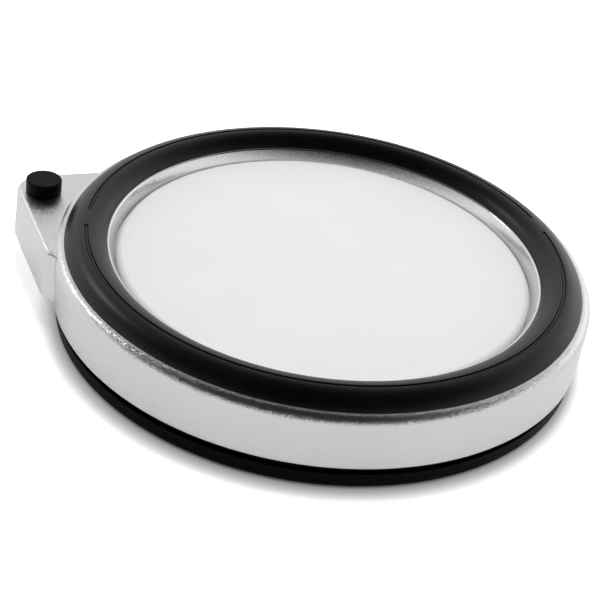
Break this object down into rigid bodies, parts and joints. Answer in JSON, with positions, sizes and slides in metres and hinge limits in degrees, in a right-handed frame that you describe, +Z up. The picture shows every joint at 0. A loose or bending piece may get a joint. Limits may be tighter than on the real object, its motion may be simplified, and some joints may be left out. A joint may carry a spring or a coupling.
{
  "type": "practice pad",
  "caption": "Round electronic practice pad with a silver shell, grooved rubber rim, soft white head, black base and a side ear that holds a rotary control and an output socket.",
  "frame": {"origin": "on the pad's vertical axis, at the base's underside, on the surface that it stands on", "axes": "+Z up along the pad's axis, -Y towards the player, the ear at -X and +Y"},
  "size_m": [0.2905, 0.284, 0.0492],
  "materials": {
    "silver_paint": "satin silver metallic paint on moulded ABS",
    "black_abs": "finely textured black moulded ABS",
    "rim_rubber": "semi-matte black moulded rubber",
    "head_silicone": "white cellular silicone with a fine leathery grain",
    "knob_plastic": "matte black moulded plastic",
    "plate_steel": "zinc-plated sheet steel",
    "screw_steel": "black-plated steel",
    "bright_nickel": "nickel-plated brass",
    "sensor_brass": "plain brass sheet",
    "sensor_ceramic": "silvered ceramic",
    "foam": "dark open-cell foam",
    "switch_film": "amber polyester film",
    "board_green": "green solder mask on glass-epoxy",
    "chip_black": "moulded epoxy",
    "plug_nylon": "natural nylon",
    "lead_pvc": "PVC-covered stranded wire"
  },
  "bodies": {
    "case": {"shell": "silver_paint", "rim_frame": "silver_paint", "bottom_cover": "black_abs", "ear_cover": "black_abs", "cover_screws": "screw_steel", "ear_screws": "screw_steel", "rim_hoop": "rim_rubber", "front_rim_switch": "switch_film", "rear_rim_switch": "switch_film", "foam_ring": "foam", "pot_body": "board_green", "pot_washer": "bright_nickel", "pot_nut": "bright_nickel", "jack_body": "black_abs", "jack_plate": "black_abs", "jack_washer": "bright_nickel", "jack_nut": "bright_nickel", "jack_lugs": "bright_nickel", "sensor_board": "board_green", "board_parts": "chip_black", "board_connectors": "plug_nylon", "board_screws": "plate_steel", "piezo_lead": "lead_pvc", "front_rim_lead": "lead_pvc", "rear_rim_lead": "lead_pvc", "jack_lead": "lead_pvc", "pot_lead": "lead_pvc"},
    "head": {"playing_head": "head_silicone", "head_plate": "plate_steel", "piezo_tape": "foam", "piezo_disc": "sensor_brass", "piezo_ceramic": "sensor_ceramic"},
    "control": {"control_knob": "knob_plastic", "pot_shaft": "plate_steel"}
  },
  "joints": [
    {"name": "knob_turn", "type": "hinge", "parent": "case", "child": "control", "pos_m": [-0.1339, 0.0818, 0.0413], "axis": [0, 0, 1], "range_deg": [-150, 150]},
    {"name": "head_strike", "type": "slide", "parent": "case", "child": "head", "axis": [0, 0, 1], "range_m": [-0.0015, 0], "stiffness_N_per_m": 20000, "springref_m": 0.001, "deforming": ["foam_ring", "piezo_lead"]}
  ]
}
